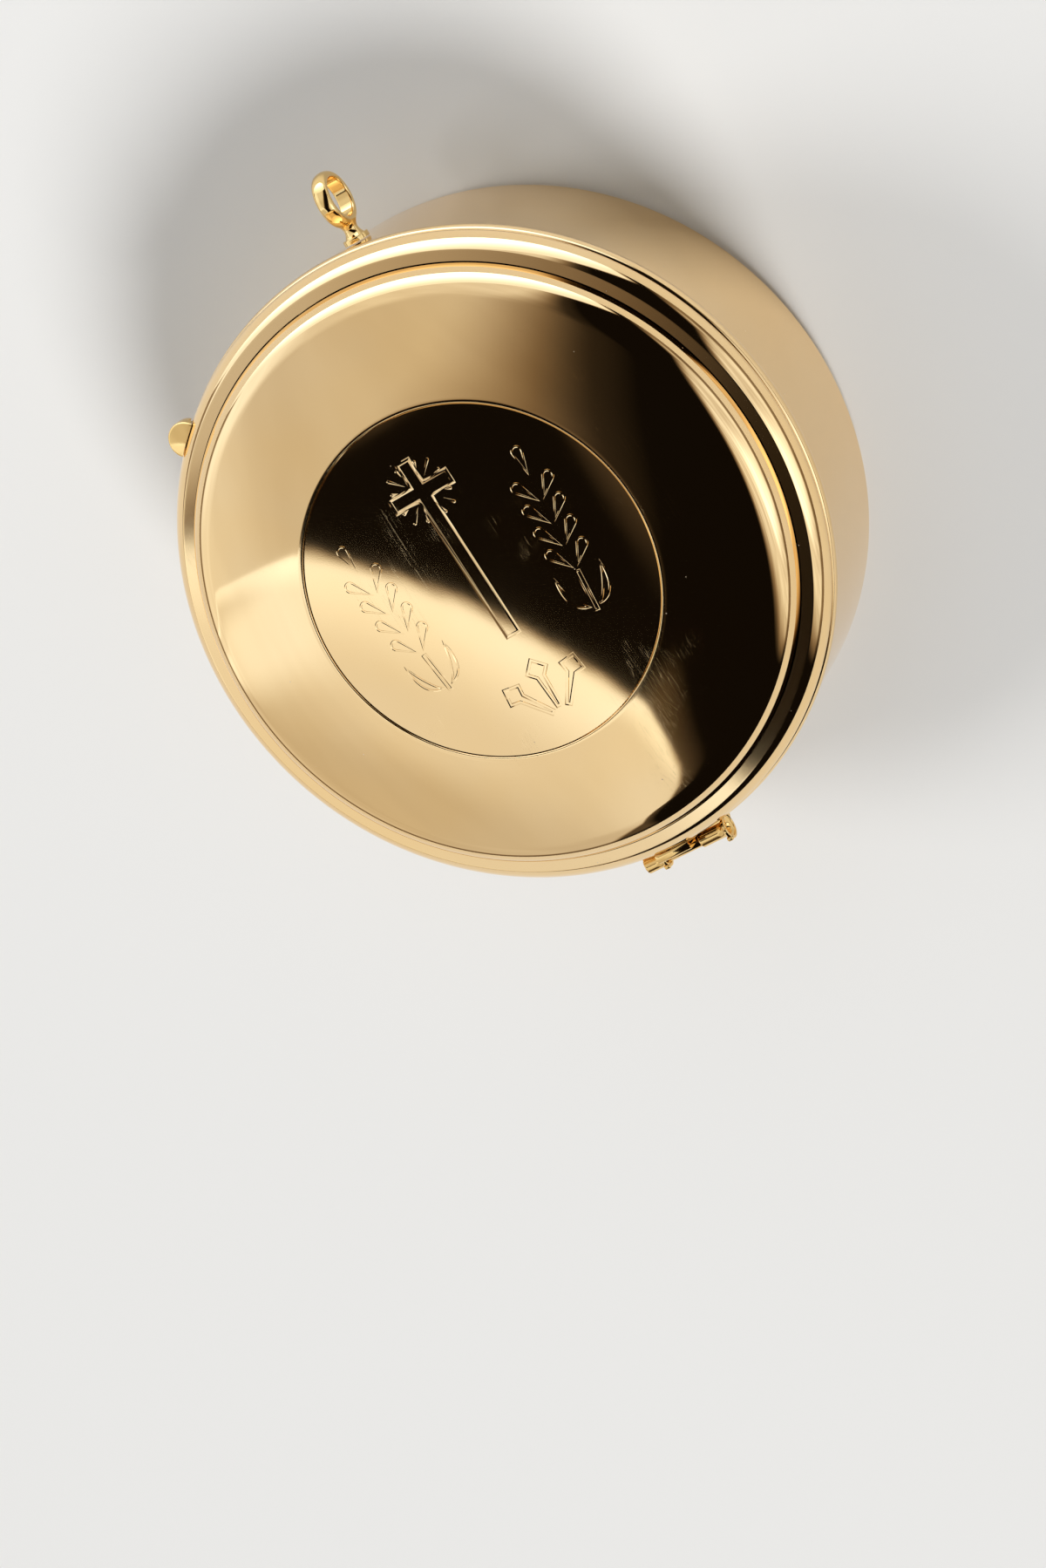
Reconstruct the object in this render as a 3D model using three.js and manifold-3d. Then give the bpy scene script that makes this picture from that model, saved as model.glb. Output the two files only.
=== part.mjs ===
// Hinged round pyx: a small gold-plated brass box with a domed lid, for carrying altar breads.
// Millimetres, +Z up. The origin is the centre of the flat underside of the base.
// The hinge is at the back (+Y), and the neck-cord ring is almost opposite it at the front (-Y).
import * as THREE from 'three';
import { mergeVertices } from 'three/addons/utils/BufferGeometryUtils.js';
import Module from 'manifold-3d';

const wasm = await Module();
wasm.setup();

// Base
const baseRadius = 27.6;          // outside of the cup wall
const baseWall = 0.8;             // sheet thickness of the cup
const baseCorner = 1.0;           // outside radius between floor and wall
const seamHeight = 15.8;          // where lid and base meet
const baseRingHeight = 1.3;       // mouth ring on top of the cup wall
const baseBeadProud = 0.4;        // how far its half-round bead stands out of the wall

// Stepped collar inside the mouth, over which the lid slides
const collarThickness = 0.6;
const collarSkirt = 3.2;          // depth of the skirt that lines the cup wall
const collarRise = 1.4;           // height of the upstand above the seam
const collarLead = 0.2;           // chamfer that leads the lid on

// Lid
const lidSheet = 0.7;             // sheet thickness of the lid
const lidWallHeight = 1.5;        // upright wall above the seam, below the shoulder
const shoulderRadius = 2.6;       // outside radius of the shoulder
const shoulderSlope = 8;          // degrees, where shoulder and crown meet
const lipSlope = 2;               // degrees, slope of the crown where it reaches the medallion
const lipRound = 0.08;            // broken edge round the medallion seat
const lidRingInset = 0.25;        // how far the lid's turned rim ring lies inside the base's bead
const lidRingWidth = 2.1;         // from its bore to its outside
const lidRingHeight = 1.2;
const coveWidth = 1.25;           // concave run between rim ring and lid wall
const coveHeight = 0.7;
const coveLand = 0.06;            // width of the cove's upper edge
const ringTopRound = 0.4;         // outer edge of the rim ring, above
const ringUnderRound = 0.25;      // and below

// Medallion
const medallionRadius = 15.0;
const medallionThickness = 0.6;
const medallionStep = 0.12;       // how far its face lies below the lip of the lid
const medallionEdge = 0.05;

// Hinge
const hingeDrop = 1.9;            // how far the axis lies below the seam
const knuckleRadius = 0.72;       // outer knuckles, on the base leaf
const leftKnuckleLength = 2.85;   // the one towards -X
const rightKnuckleLength = 2.05;  // and the one towards +X
const flareLength = 1.0;          // each outer knuckle opens into a trumpet mouth towards -X
const flareRise = 0.18;           // how far the mouth by the middle knuckle stands proud
const endFlareRise = 0.2;         // how much further the one at the hinge's end does
const flareLip = 0.25;            // width of a mouth's outer rim
const flareWall = 0.25;           // sheet thickness at a mouth
const mouthDepth = 0.8;
const nubRadius = 0.22;           // end of the rolled sheet, a bump on the rim of each mouth
const nubLength = 0.5;
const nubAngle = 40;              // degrees up from the outward side
const lidKnuckleRadius = 0.55;    // slimmer middle knuckle, on the lid leaf
const lidKnuckleLength = 3.25;
const knuckleGap = 0.1;           // end play between knuckles
const pinRadius = 0.3;
const pinInset = 0.5;             // how far the pin's ends lie inside the outer knuckles
const leafThickness = 0.4;
const baseLeafDrop = 2.6;         // how far the base leaf reaches below the hinge axis
const strapThickness = 0.35;      // strap that carries the middle knuckle down past the bead
const strapRise = 0.55;           // its top, above the seam
const strapBend = 0.3;            // outside radius of its bend

// Thumb tab on the lid's rim ring
const tabAngle = -51;             // degrees round from +X
const tabRadius = 1.55;
const tabThickness = 1.4;
const tabTopDrop = 0.25;          // its top face lies this far below the rim ring's
const tabRound = 0.2;

// Neck-cord ring and its boss on the cup wall
const cordRingAngle = -92.6;      // degrees round from +X
const cordRingHeight = 7.9;       // of its centre
const cordRingBore = 1.75;
const cordRingBand = 0.7;         // radial thickness of the band
const cordRingWidth = 1.4;        // along its own axis
const cordRingRound = 0.28;
const neckLength = 0.9;
const neckRadius = 0.62;
const neckFlare = 0.25;           // how much wider the neck is at its two ends
const bossRadius = 1.15;
const bossThickness = 0.45;

// Clearances
const brazeGap = 0.05;            // brazed joint between coaxial pieces
const seatGap = 0.08;             // brazed joint on a curved wall
const slideGap = 0.12;            // lid wall over collar
const landGap = 0.1;              // lid wall's edge above the collar's ledge
const pinGap = 0.03;              // running fit of the pin
const bodyGap = 0.25;             // base leaf under the base ring, and round the middle knuckle
const strapGap = 0.2;             // strap past the base ring's bead
const beadGap = 0.15;             // thumb tab past the base ring's bead

// Facets
const turnSteps = 72;             // round the large turned pieces
const smallSteps = 24;            // round hinge, ring and boss
const arcSteps = 6;               // along a profile's arc, where no other count is given
const shoulderSteps = 8;          // along the outside of the lid's shoulder
const edgeSteps = 3;              // along a small rounded edge or a hidden arc

// How far a cutter, or material that is cut away, runs past what it meets
const overshoot = 1.0;

// Values that follow
const rad = THREE.MathUtils.degToRad;
const deg = THREE.MathUtils.radToDeg;
const cupInside = baseRadius - baseWall;
const baseRingUnder = seamHeight - baseRingHeight;
const beadRadius = baseRadius + baseBeadProud;
const lidRingRadius = beadRadius - lidRingInset;
const lidRingBore = lidRingRadius - lidRingWidth;
const lidWallRadius = lidRingBore - brazeGap;
const lidInside = lidWallRadius - lidSheet;
const shoulderHeight = seamHeight + lidWallHeight;
const seatRadius = medallionRadius + brazeGap;
const crownRun = lidWallRadius - shoulderRadius * (1 - Math.sin(rad(shoulderSlope))) - seatRadius;
const crownRadius = crownRun / (Math.sin(rad(shoulderSlope)) - Math.sin(rad(lipSlope)));
const crownJoin = shoulderHeight + shoulderRadius * Math.cos(rad(shoulderSlope));
const crownCentreRadius = seatRadius - crownRadius * Math.sin(rad(lipSlope));
const crownCentreHeight = crownJoin - crownRadius * Math.cos(rad(shoulderSlope));
const lipHeight = crownCentreHeight + crownRadius * Math.cos(rad(lipSlope));
const seatFloor = lipHeight - medallionStep - medallionThickness;
const innerMouth = knuckleRadius + flareRise;
const endMouth = innerMouth + endFlareRise;
const footOut = baseRadius + seatGap + leafThickness;
const hingeY = footOut + knuckleRadius;
const hingeZ = seamHeight - hingeDrop;
const boreRadius = pinRadius + pinGap;
const hingeHalf = (leftKnuckleLength + lidKnuckleLength + rightKnuckleLength) / 2 + knuckleGap;
const notchLeft = leftKnuckleLength - hingeHalf;
const notchRight = hingeHalf - rightKnuckleLength;
const cordRingOuter = cordRingBore + cordRingBand;
const bossFace = baseRadius + seatGap + bossThickness;
const cordRingY = -(bossFace + neckLength + cordRingOuter);

// Mirror-polished gold plate; the small fittings are a little yellower
const shellGold = { color: 0xd9bd86, roughness: 0.06, metalness: 1.0 };
const fittingGold = { color: 0xe0b565, roughness: 0.1, metalness: 1.0 };

const part = new THREE.Group();

function addPiece(body, name, geometry, finish) {
  const mesh = new THREE.Mesh(geometry, new THREE.MeshStandardMaterial(finish));
  mesh.name = name;
  body.add(mesh);
}

// Points of an elliptical arc, both ends included, from angle a to angle b in degrees
function arc(x, y, rx, ry, a, b, steps = arcSteps) {
  const points = [];
  for (let i = 0; i <= steps; i += 1) {
    const t = rad(a + ((b - a) * i) / steps);
    points.push([x + rx * Math.cos(t), y + ry * Math.sin(t)]);
  }
  return points;
}

// Points of a small round edge of radius r
function rounding(x, y, r, a, b) {
  return arc(x, y, r, r, a, b, edgeSteps);
}

// Solid of revolution about Z from [radius, height] pairs; a ring's profile closes on itself
function turned(profile, steps = turnSteps) {
  const points = profile.map(([r, z]) => new THREE.Vector2(r, z));
  const isRing = profile[0][0] > 0;
  if (isRing) {
    points.push(points[0].clone());
  }
  const geometry = new THREE.LatheGeometry(points, steps);
  return geometry.rotateX(Math.PI / 2);
}

// Turns a piece made about Z so that +Z becomes +X, or the front, -Y
function alongX(geometry) {
  return geometry.rotateY(Math.PI / 2);
}

function towardsFront(geometry) {
  return geometry.rotateX(Math.PI / 2);
}

// Extrudes an outline drawn in the Y-Z plane from x0 to x1
function extrudedAlongX(shape, x0, x1) {
  const geometry = new THREE.ExtrudeGeometry(shape, {
    depth: x1 - x0, bevelEnabled: false, curveSegments: smallSteps / 2,
  });
  const toYZ = new THREE.Matrix4().makeBasis(
    new THREE.Vector3(0, 1, 0),
    new THREE.Vector3(0, 0, 1),
    new THREE.Vector3(1, 0, 0),
  );
  return geometry.applyMatrix4(toYZ).translate(x0, 0, 0);
}

function solidOf(geometry) {
  const bare = geometry.clone();
  bare.deleteAttribute('normal');
  bare.deleteAttribute('uv');
  const merged = mergeVertices(bare, 1e-4);
  return new wasm.Manifold(new wasm.Mesh({
    numProp: 3,
    vertProperties: new Float32Array(merged.attributes.position.array),
    triVerts: new Uint32Array(merged.index.array),
  }));
}

function geometryOf(solid) {
  const mesh = solid.getMesh();
  const geometry = new THREE.BufferGeometry();
  geometry.setAttribute('position', new THREE.BufferAttribute(mesh.vertProperties, 3));
  geometry.setIndex(new THREE.BufferAttribute(mesh.triVerts, 1));
  geometry.computeVertexNormals();
  return geometry;
}

// A plain round bar about Z
function bar(radius, z0, z1, steps = smallSteps) {
  return turned([[0, z0], [radius, z0], [radius, z1], [0, z1]], steps);
}

// Drawn cup: flat floor, rounded corner, upright wall
function baseCup() {
  // The inside corner is never sharper than half the sheet
  const innerCorner = Math.max(baseCorner - baseWall, baseWall / 2);
  return turned([
    [0, 0],
    ...arc(baseRadius - baseCorner, baseCorner, baseCorner, baseCorner, -90, 0),
    [baseRadius, baseRingUnder],
    [cupInside, baseRingUnder],
    ...rounding(cupInside - innerCorner, baseWall + innerCorner, innerCorner, 0, -90),
    [0, baseWall],
  ]);
}

// Turned mouth ring with a half-round bead
function baseRimRing() {
  const half = baseRingHeight / 2;
  return turned([
    [cupInside, baseRingUnder],
    ...arc(baseRadius, baseRingUnder + half, baseBeadProud, half, -90, 90),
    [cupInside, seamHeight],
  ]);
}

// Stepped collar: skirt inside the cup, ledge at the seam, upstand inside the lid
function bezelCollar() {
  const skirt = cupInside - brazeGap;
  const upstand = lidInside - slideGap;
  const ledge = seamHeight - landGap;
  const top = seamHeight + collarRise;
  return turned([
    [skirt - collarThickness, ledge - collarSkirt],
    [skirt, ledge - collarSkirt],
    [skirt, ledge],
    [upstand, ledge],
    [upstand, top - collarLead],
    [upstand - collarLead, top],
    [upstand - collarThickness, top],
    [upstand - collarThickness, ledge - collarThickness],
    [skirt - collarThickness, ledge - collarThickness],
  ]);
}

// Domed lid of even sheet: upright wall, shoulder, shallow crown, and a seat for the medallion
function lidShell() {
  const shoulderCentre = lidWallRadius - shoulderRadius;
  const innerShoulder = shoulderRadius - lidSheet;
  const innerCrown = crownRadius - lidSheet;
  const seatOutside = seatRadius + lidSheet;
  const ceiling = seatFloor - lidSheet;
  const seatAngle = 90 - deg(Math.asin((seatOutside - crownCentreRadius) / innerCrown));
  const lipAngle = 90 - lipSlope;
  const crownEnd = 90 - shoulderSlope;
  const crown = (r, a, b, steps) => arc(crownCentreRadius, crownCentreHeight, r, r, a, b, steps);
  const shoulder = (r, a, b, steps) => arc(shoulderCentre, shoulderHeight, r, r, a, b, steps);
  return turned([
    [0, ceiling],
    [seatOutside, ceiling],
    ...crown(innerCrown, seatAngle, crownEnd, edgeSteps),
    ...shoulder(innerShoulder, crownEnd, 0, arcSteps).slice(1),
    [lidInside, seamHeight],
    [lidWallRadius, seamHeight],
    ...shoulder(shoulderRadius, 0, crownEnd, shoulderSteps),
    ...crown(crownRadius, crownEnd, lipAngle, arcSteps).slice(1, -1),
    [seatRadius + lipRound, lipHeight],
    [seatRadius, lipHeight - lipRound],
    [seatRadius, seatFloor],
    [0, seatFloor],
  ]);
}

// Turned rim ring round the lid's mouth, coved up to the lid wall
function lidRimRing() {
  const top = seamHeight + lidRingHeight;
  const coveFoot = lidRingBore + coveLand + coveWidth;
  return turned([
    [lidRingBore, seamHeight],
    ...rounding(lidRingRadius - ringUnderRound, seamHeight + ringUnderRound, ringUnderRound, -90, 0),
    ...rounding(lidRingRadius - ringTopRound, top - ringTopRound, ringTopRound, 0, 90),
    ...arc(coveFoot, top + coveHeight, coveWidth, coveHeight, -90, -180),
    [lidRingBore, top + coveHeight],
  ]);
}

// Flat engraved disc, lying in the seat of the lid
function medallionDisc() {
  const face = seatFloor + medallionThickness;
  return turned([
    [0, seatFloor],
    [medallionRadius, seatFloor],
    [medallionRadius, face - medallionEdge],
    [medallionRadius - medallionEdge, face],
    [0, face],
  ]);
}

function knuckleOutline(radius) {
  const outline = new THREE.Shape();
  outline.absarc(hingeY, hingeZ, radius, 0, Math.PI * 2, false);
  return outline;
}

// Outside of an outer knuckle: plain at 0, and flared to its mouth at the other end
function knuckleSide(mouth, length, inset) {
  const flare = arc(
    mouth, length - flareLength, mouth - knuckleRadius, flareLength - flareLip, 180, 90, edgeSteps + 1,
  );
  return [[knuckleRadius, 0], ...flare, [mouth, length]].map(([r, z]) => [r - inset, z]);
}

// Lays a profile turned about Z along the hinge, with its start at x and its end towards -X
function laidOnHinge(profile, x) {
  const tube = turned(profile, smallSteps).rotateY(-Math.PI / 2);
  return solidOf(tube.translate(x, hingeY, hingeZ));
}

// Outer knuckle: a tube with a trumpet mouth towards -X
function flaredKnuckle(mouth, length, plainEnd) {
  return laidOnHinge([
    [boreRadius, 0],
    ...knuckleSide(mouth, length, 0),
    [mouth - flareWall, length],
    [boreRadius, length - mouthDepth],
  ], plainEnd);
}

// Room for an outer knuckle in the leaf, up to the middle of the knuckle's sheet
function knuckleRoom(mouth, length, plainEnd) {
  const side = knuckleSide(mouth, length, flareWall / 2);
  const first = side[0];
  const last = side[side.length - 1];
  return laidOnHinge([
    [0, -overshoot], [first[0], -overshoot],
    ...side,
    [last[0], length + overshoot], [0, length + overshoot],
  ], plainEnd);
}

// Bump where the rolled sheet ends, on the rim of a mouth
function rollNub(mouth, x0) {
  const outline = new THREE.Shape();
  const y = hingeY + mouth * Math.cos(rad(nubAngle));
  const z = hingeZ + mouth * Math.sin(rad(nubAngle));
  outline.absarc(y, z, nubRadius, 0, Math.PI * 2, false);
  const nub = solidOf(extrudedAlongX(outline, x0, x0 + nubLength));
  // The bump stays on the outside of the rim
  const inside = knuckleOutline(mouth - flareWall / 2);
  return nub.subtract(solidOf(extrudedAlongX(inside, x0 - overshoot, x0 + nubLength + overshoot)));
}

// Base leaf: a foot on the cup wall under the bead, and a knuckle at each end
function hingeBaseLeaf() {
  const footIn = Math.sqrt(baseRadius ** 2 - hingeHalf ** 2) - leafThickness;
  const footTop = baseRingUnder - bodyGap;
  const footBottom = hingeZ - baseLeafDrop;
  const knuckleUnder = hingeZ - knuckleRadius;
  const leafOutline = new THREE.Shape([
    [footIn, footBottom], [footOut, footBottom],
    [footOut, knuckleUnder - knuckleRadius], [hingeY, knuckleUnder], [hingeY, hingeZ],
    [footOut, hingeZ], [footOut, footTop], [footIn, footTop],
  ].map(([y, z]) => new THREE.Vector2(y, z)));
  // Notch between the knuckles, clear of the lid's knuckle and strap as they turn
  const notch = extrudedAlongX(knuckleOutline(lidKnuckleRadius + bodyGap), notchLeft, notchRight);
  // The foot is curved to the cup wall
  const wallCutter = bar(baseRadius + seatGap, 0, seamHeight, turnSteps);
  const plate = solidOf(extrudedAlongX(leafOutline, -hingeHalf, hingeHalf))
    .subtract(knuckleRoom(endMouth, leftKnuckleLength, notchLeft))
    .subtract(knuckleRoom(innerMouth, rightKnuckleLength, hingeHalf))
    .subtract(solidOf(notch))
    .subtract(solidOf(wallCutter));
  return geometryOf(plate
    .add(flaredKnuckle(endMouth, leftKnuckleLength, notchLeft))
    .add(flaredKnuckle(innerMouth, rightKnuckleLength, hingeHalf))
    .add(rollNub(endMouth, -hingeHalf))
    .add(rollNub(innerMouth, notchRight)));
}

// Lid leaf: a slimmer knuckle between the outer two, and a strap up to the lid's rim ring
function hingeLidLeaf() {
  const left = notchLeft + knuckleGap;
  const right = notchRight - knuckleGap;
  const strapTop = seamHeight + strapRise;
  const strapIn = beadRadius + strapGap;
  const strapOut = strapIn + strapThickness;
  const strapOutline = new THREE.Shape([
    [lidWallRadius, strapTop - strapThickness], [strapIn, strapTop - strapThickness],
    [hingeY - lidKnuckleRadius, hingeZ], [strapOut, hingeZ],
    ...arc(strapOut - strapBend, strapTop - strapBend, strapBend, strapBend, 0, 90),
    [lidWallRadius, strapTop],
  ].map(([y, z]) => new THREE.Vector2(y, z)));
  const tube = solidOf(extrudedAlongX(knuckleOutline(lidKnuckleRadius), left, right));
  const strap = solidOf(extrudedAlongX(strapOutline, left, right));
  const bore = solidOf(extrudedAlongX(knuckleOutline(boreRadius), notchLeft, notchRight));
  const ringCutter = bar(lidRingRadius + seatGap, 0, lipHeight, turnSteps);
  return geometryOf(tube.add(strap).subtract(bore).subtract(solidOf(ringCutter)));
}

function hingePin() {
  const half = hingeHalf - pinInset;
  return alongX(bar(pinRadius, -half, half)).translate(0, hingeY, hingeZ);
}

// Half-round thumb tab, hollowed at the back to the lid ring and clear of the base bead
function thumbTab() {
  const top = seamHeight + lidRingHeight - tabTopDrop;
  const root = lidRingRadius - overshoot;
  const outline = new THREE.Shape();
  const inner = tabRadius - tabRound;
  outline.moveTo(-inner, root);
  outline.lineTo(inner, root);
  outline.lineTo(inner, lidRingRadius);
  outline.absarc(0, lidRingRadius, inner, 0, Math.PI, false);
  outline.closePath();
  const plate = new THREE.ExtrudeGeometry(outline, {
    depth: tabThickness - 2 * tabRound,
    bevelEnabled: true,
    bevelThickness: tabRound,
    bevelSize: tabRound,
    bevelSegments: edgeSteps,
    curveSegments: smallSteps / 2,
  });
  plate.translate(0, 0, top - tabThickness + tabRound);
  plate.rotateZ(rad(tabAngle - 90));
  const lidCutter = bar(lidRingRadius + seatGap, 0, lipHeight, turnSteps);
  const beadCutter = bar(beadRadius + beadGap, 0, seamHeight + ringUnderRound, turnSteps);
  return geometryOf(solidOf(plate).subtract(solidOf(lidCutter)).subtract(solidOf(beadCutter)));
}

// Low round boss between the cup wall and the neck of the cord ring
function ringBoss() {
  const disc = towardsFront(bar(bossRadius, cupInside, bossFace)).translate(0, 0, cordRingHeight);
  const wallCutter = bar(baseRadius + seatGap, 0, seamHeight, turnSteps);
  return geometryOf(solidOf(disc).subtract(solidOf(wallCutter))).rotateZ(rad(cordRingAngle + 90));
}

// Cast ring with its neck; the hole runs sideways, along X
function cordRing() {
  const half = cordRingWidth / 2;
  const inner = cordRingRound / 2;
  const band = turned([
    ...rounding(cordRingBore + inner, -half + inner, inner, 180, 270),
    ...rounding(cordRingOuter - cordRingRound, -half + cordRingRound, cordRingRound, -90, 0),
    ...rounding(cordRingOuter - cordRingRound, half - cordRingRound, cordRingRound, 0, 90),
    ...rounding(cordRingBore + inner, half - inner, inner, 90, 180),
  ], smallSteps);
  alongX(band).translate(0, cordRingY, cordRingHeight);
  const neckEnd = -cordRingY - cordRingBore - cordRingBand / 2;
  const neckMiddle = bossFace + neckLength / 2;
  const neck = turned([
    [0, bossFace],
    [neckRadius + neckFlare, bossFace],
    [neckRadius, neckMiddle],
    [neckRadius + neckFlare, neckEnd],
    [0, neckEnd],
  ], smallSteps);
  towardsFront(neck).translate(0, 0, cordRingHeight);
  return geometryOf(solidOf(band).add(solidOf(neck))).rotateZ(rad(cordRingAngle + 90));
}

const base = new THREE.Group();
const lid = new THREE.Group();
part.add(base, lid);

addPiece(base, 'base_cup', baseCup(), shellGold);
addPiece(base, 'base_rim_ring', baseRimRing(), shellGold);
addPiece(base, 'bezel_collar', bezelCollar(), shellGold);
addPiece(base, 'hinge_base_leaf', hingeBaseLeaf(), fittingGold);
addPiece(base, 'hinge_pin', hingePin(), fittingGold);
addPiece(base, 'ring_boss', ringBoss(), fittingGold);
addPiece(base, 'cord_ring', cordRing(), fittingGold);
addPiece(lid, 'lid_shell', lidShell(), shellGold);
addPiece(lid, 'lid_rim_ring', lidRimRing(), shellGold);
addPiece(lid, 'medallion_disc', medallionDisc(), shellGold);
addPiece(lid, 'hinge_lid_leaf', hingeLidLeaf(), fittingGold);
addPiece(lid, 'thumb_tab', thumbTab(), fittingGold);

export default part;
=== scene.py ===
# Looks of a hinged round pyx in mirror-polished gold plate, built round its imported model.
# Lengths are in millimetres, in the model's frame, and become metres where a mesh is made.
# The hinge is at +Y and the cord ring at -Y. Angles are in degrees.

from math import acos, asin, cos, degrees, hypot, pi, radians, sin, sqrt

import bmesh
import bpy
from mathutils import Matrix, Vector
from mathutils.geometry import delaunay_2d_cdt


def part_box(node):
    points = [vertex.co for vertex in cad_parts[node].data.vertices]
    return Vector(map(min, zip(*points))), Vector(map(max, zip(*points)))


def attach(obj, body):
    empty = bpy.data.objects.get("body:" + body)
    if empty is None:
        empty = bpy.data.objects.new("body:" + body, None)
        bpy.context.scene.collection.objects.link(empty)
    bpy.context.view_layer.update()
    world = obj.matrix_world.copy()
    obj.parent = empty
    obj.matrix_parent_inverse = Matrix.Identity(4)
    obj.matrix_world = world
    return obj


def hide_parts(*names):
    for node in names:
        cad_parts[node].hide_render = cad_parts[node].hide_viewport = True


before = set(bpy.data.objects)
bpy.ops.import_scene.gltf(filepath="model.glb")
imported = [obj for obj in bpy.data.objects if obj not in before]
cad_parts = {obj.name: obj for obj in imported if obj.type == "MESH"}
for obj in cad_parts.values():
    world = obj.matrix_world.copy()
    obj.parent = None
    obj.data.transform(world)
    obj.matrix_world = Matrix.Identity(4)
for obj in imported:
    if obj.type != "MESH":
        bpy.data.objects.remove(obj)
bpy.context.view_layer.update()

MM = 0.001


def box_mm(node):
    """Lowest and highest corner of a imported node, in millimetres."""
    low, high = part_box(node)
    return low / MM, high / MM


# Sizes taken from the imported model
_, cup_high = box_mm("base_cup")
_, bead_high = box_mm("base_rim_ring")
collar_low, collar_high = box_mm("bezel_collar")
_, lid_high = box_mm("lid_shell")
_, lid_ring_high = box_mm("lid_rim_ring")
medal_low, medal_high = box_mm("medallion_disc")
base_leaf_low, base_leaf_high = box_mm("hinge_base_leaf")
lid_leaf_low, lid_leaf_high = box_mm("hinge_lid_leaf")
pin_low, pin_high = box_mm("hinge_pin")
tab_low, tab_high = box_mm("thumb_tab")
loop_low, loop_high = box_mm("cord_ring")

BASE_R = cup_high.x
RING_UNDER = cup_high.z
BEAD_R = bead_high.x
SEAM = bead_high.z
LID_R = lid_high.x
LID_TOP = lid_high.z
LID_RING_R = lid_ring_high.x
MEDAL_R = medal_high.x
MEDAL_FACE = medal_high.z
MEDAL_BACK = medal_low.z
HINGE_Y = (pin_low.y + pin_high.y) / 2
HINGE_Z = (pin_low.z + pin_high.z) / 2
LOOP_Z = (loop_low.z + loop_high.z) / 2
PIN_R = (pin_high.z - pin_low.z) / 2

# Sheet and edges of the base
BASE_WALL = 0.8
BASE_CORNER = 1.0
BASE_INNER_CORNER = 0.4
COLLAR_SHEET = 0.6
COLLAR_LEAD = 0.2
LAND_GAP = 0.1

# Sheet and edges of the lid
LID_SHEET = 0.7
LID_WALL = 1.5
SHOULDER_R = 2.6
SHOULDER_SLOPE = 8
LIP_SLOPE = 2
LIP_ROUND = 0.08
BRAZE_GAP = 0.05
SLIDE_GAP = 0.12
RING_UNDER_ROUND = 0.25
RING_SIDE = 0.4                   # height of the lid ring's upright side
RING_EDGE = 0.3                   # rounding from that side into the sweep
RING_SWEEP = 2.9                  # radius of the long curve up to the land
RING_SWEEP_FROM = 22              # the sweep's ends, up from level
RING_SWEEP_TO = 57
RING_LAND_EDGE = 0.1
MEDAL_EDGE = 0.05

# Hinge
KNUCKLE_R = 0.72
KNUCKLE_EDGE = 0.06
KNUCKLE_GAP = 0.1
FLARE_LENGTH = 1.0
FLARE_LIP = 0.25
FLARE_WALL = 0.25
MOUTH_DEPTH = 0.8
INNER_MOUTH = 0.9
END_MOUTH = 1.1
NUB_R = 0.22
NUB_LENGTH = 0.5
NUB_ANGLE = 40
NUB_EDGE = 0.1
NUB_SINK = 0.02                   # how far a nub is set into the rim of its mouth
ROLL_ANGLE = 100                  # where a rolled knuckle's sheet meets itself, round from +Y
ROLL_WIDTH = 0.07
ROLL_DEPTH = 0.14
ROLL_OUT = 0.4                    # how far the cutter of that line passes the mouth
ROLL_PAST = 0.5                   # and the knuckle's two ends
WEB_RISE = 0.25                   # of the sheet between leaf and knuckle, above the pin's middle
LID_KNUCKLE_R = 0.55
PIN_GAP = 0.03
LEAF = 0.4
LEAF_EDGE = 0.04
BODY_GAP = 0.25
STRAP = 0.35
STRAP_RISE = 0.55
STRAP_GAP = 0.2
STRAP_BEND = 0.3
STRAP_CHAMFER = 0.1               # inside its bend
STRAP_EDGE = 0.05
PIN_DOME = 0.14

# Tab, boss and cord ring
SEAT_GAP = 0.08
BEAD_GAP = 0.15
TAB_R = 1.55
TAB_ROUND = 0.2
TAB_ROOT = 1.0                    # how deep its blank reaches into the rim ring
TAB_ANGLE = -51
LOOP_ANGLE = -92.6
LOOP_BORE = 1.75
LOOP_BAND = 0.7
LOOP_WIDTH = 1.4
LOOP_CROWN = 0.42                 # how far the ring's band bulges outwards
LOOP_INNER_ROUND = 0.16
NECK_LENGTH = 0.9
NECK_R = 0.62
NECK_FLARE = 0.25
BOSS_R = 1.15
BOSS_THICKNESS = 0.45
BOSS_EDGE = 0.12
BOSS_FACE = BASE_R + SEAT_GAP + BOSS_THICKNESS

# Mesh fineness
TURNS = 288
SMALL_TURNS = 96
STEP = 3.0                        # degrees between points of a profile's arc
FINE_STEP = 11.25                 # the same for a small rounded edge
GUARD = 0.12                      # distance of a guard point from the end of a long run
WELD = 1e-7                       # points nearer than this, in metres, are one
CUT_PAST = 1.0                    # how far a cutter passes the piece that it cuts
SHARP = 24                        # faces that meet at more than this have a crisp edge between them
BREAK_OVER = 38                   # edges that with_broken_edges rounds turn by more than this


def arc(cx, cy, rx, ry, start, end, step=STEP):
    """Points of an elliptical arc, both ends included."""
    steps = max(3, round(abs(end - start) / step))
    angles = [radians(start + (end - start) * i / steps) for i in range(steps + 1)]
    return [(cx + rx * cos(a), cy + ry * sin(a)) for a in angles]


def rounding(cx, cy, radius, start, end):
    """Points of a small rounded edge."""
    return arc(cx, cy, radius, radius, start, end, step=FINE_STEP)


def straight(points):
    """The corners of a profile, with a guard point beside each end of every long run."""
    result = []
    for i, (x, y) in enumerate(points):
        result.append((x, y))
        following = points[(i + 1) % len(points)]
        length = hypot(following[0] - x, following[1] - y)
        if length > 4 * GUARD:
            for t in (GUARD / length, 1 - GUARD / length):
                result.append((x + (following[0] - x) * t, y + (following[1] - y) * t))
    return result


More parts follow.
